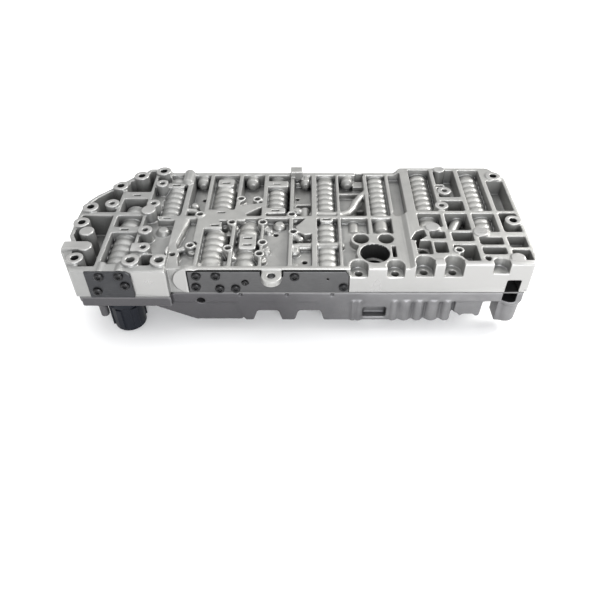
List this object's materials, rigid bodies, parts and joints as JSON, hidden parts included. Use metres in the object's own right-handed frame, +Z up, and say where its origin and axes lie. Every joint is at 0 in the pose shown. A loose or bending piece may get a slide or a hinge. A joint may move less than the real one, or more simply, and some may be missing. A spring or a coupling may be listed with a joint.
{
  "type": "transmission valve body",
  "caption": "Automatic transmission valve body: ribbed upper and lower castings with separator plate, spool valves, solenoids and connector.",
  "frame": {"origin": "centre of the bounding box on the plane it rests on", "axes": "+X along the body to the right of the front view, +Y away from the front face, +Z up"},
  "size_m": [0.433, 0.1782, 0.0872],
  "materials": {
    "cast_aluminium": "as-cast, machined faces brighter",
    "lower_cast_aluminium": "as-cast, darker",
    "separator_steel": "rolled",
    "dark_plate_steel": "phosphated",
    "plate_steel": "rolled",
    "black_oxide_steel": "black oxide",
    "black_plastic": "moulded",
    "pin_brass": "plated",
    "turned_aluminium": "turned",
    "bright_steel": "ground",
    "zinc_steel": "zinc plated",
    "solenoid_steel": "plated can",
    "spring_steel": "drawn wire"
  },
  "bodies": {
    "castings": {"upper_valve_body": "cast_aluminium", "separator_plate": "separator_steel", "lower_valve_body": "lower_cast_aluminium", "left_end_plate": "dark_plate_steel", "left_plate_screws": "black_oxide_steel", "long_retainer_plate": "plate_steel", "long_plate_screws": "black_oxide_steel", "connector_housing": "black_plastic", "connector_pins": "pin_brass", "bore_plugs": "turned_aluminium", "valve_stop_keys": "bright_steel", "check_balls": "bright_steel", "dowel_pins": "bright_steel", "clamp_bolts": "zinc_steel", "solenoid_clamp_strip": "plate_steel", "clamp_strip_screws": "black_oxide_steel", "pressure_solenoid_1": "solenoid_steel", "pressure_solenoid_2": "solenoid_steel", "pressure_solenoid_3": "solenoid_steel", "pressure_solenoid_4": "solenoid_steel", "pressure_solenoid_5": "solenoid_steel", "pressure_solenoid_6": "solenoid_steel", "line_pressure_spring": "spring_steel", "lockup_spring": "spring_steel", "shift_spring_1": "spring_steel", "clutch_spring_a": "spring_steel", "shift_spring_2": "spring_steel", "clutch_spring_b": "spring_steel", "shift_spring_3": "spring_steel", "clutch_spring_c": "spring_steel", "reducing_spring": "spring_steel", "holding_spring_a": "spring_steel", "holding_spring_b": "spring_steel"},
    "line_pressure_valve": {"line_pressure_valve": "turned_aluminium"},
    "lockup_valve": {"lockup_valve": "turned_aluminium"},
    "shift_valve_1": {"shift_valve_1": "turned_aluminium"},
    "clutch_valve_a": {"clutch_valve_a": "turned_aluminium"},
    "shift_valve_2": {"shift_valve_2": "turned_aluminium"},
    "clutch_valve_b": {"clutch_valve_b": "turned_aluminium"},
    "shift_valve_3": {"shift_valve_3": "turned_aluminium"},
    "clutch_valve_c": {"clutch_valve_c": "turned_aluminium"},
    "reducing_valve": {"reducing_valve": "turned_aluminium"},
    "holding_valve_a": {"holding_valve_a": "turned_aluminium"},
    "holding_valve_b": {"holding_valve_b": "turned_aluminium"}
  },
  "joints": [
    {"name": "line_pressure_valve_slide", "type": "slide", "parent": "castings", "child": "line_pressure_valve", "axis": [0, -1, 0], "range_m": [0, 0.005], "stiffness_N_per_m": 1500, "deforming": ["line_pressure_spring"]},
    {"name": "lockup_valve_slide", "type": "slide", "parent": "castings", "child": "lockup_valve", "axis": [0, 1, 0], "range_m": [0, 0.005], "stiffness_N_per_m": 1500, "deforming": ["lockup_spring"]},
    {"name": "shift_valve_1_slide", "type": "slide", "parent": "castings", "child": "shift_valve_1", "axis": [0, -1, 0], "range_m": [0, 0.005], "stiffness_N_per_m": 1500, "deforming": ["shift_spring_1"]},
    {"name": "clutch_valve_a_slide", "type": "slide", "parent": "castings", "child": "clutch_valve_a", "axis": [0, 1, 0], "range_m": [0, 0.005], "stiffness_N_per_m": 1500, "deforming": ["clutch_spring_a"]},
    {"name": "shift_valve_2_slide", "type": "slide", "parent": "castings", "child": "shift_valve_2", "axis": [0, -1, 0], "range_m": [0, 0.005], "stiffness_N_per_m": 1500, "deforming": ["shift_spring_2"]},
    {"name": "clutch_valve_b_slide", "type": "slide", "parent": "castings", "child": "clutch_valve_b", "axis": [0, 1, 0], "range_m": [0, 0.005], "stiffness_N_per_m": 1500, "deforming": ["clutch_spring_b"]},
    {"name": "shift_valve_3_slide", "type": "slide", "parent": "castings", "child": "shift_valve_3", "axis": [0, -1, 0], "range_m": [0, 0.005], "stiffness_N_per_m": 1500, "deforming": ["shift_spring_3"]},
    {"name": "clutch_valve_c_slide", "type": "slide", "parent": "castings", "child": "clutch_valve_c", "axis": [0, 1, 0], "range_m": [0, 0.005], "stiffness_N_per_m": 1500, "deforming": ["clutch_spring_c"]},
    {"name": "reducing_valve_slide", "type": "slide", "parent": "castings", "child": "reducing_valve", "axis": [0, 1, 0], "range_m": [0, 0.005], "stiffness_N_per_m": 1500, "deforming": ["reducing_spring"]},
    {"name": "holding_valve_a_slide", "type": "slide", "parent": "castings", "child": "holding_valve_a", "axis": [0, 1, 0], "range_m": [0, 0.005], "stiffness_N_per_m": 1500, "deforming": ["holding_spring_a"]},
    {"name": "holding_valve_b_slide", "type": "slide", "parent": "castings", "child": "holding_valve_b", "axis": [0, 1, 0], "range_m": [0, 0.005], "stiffness_N_per_m": 1500, "deforming": ["holding_spring_b"]}
  ]
}
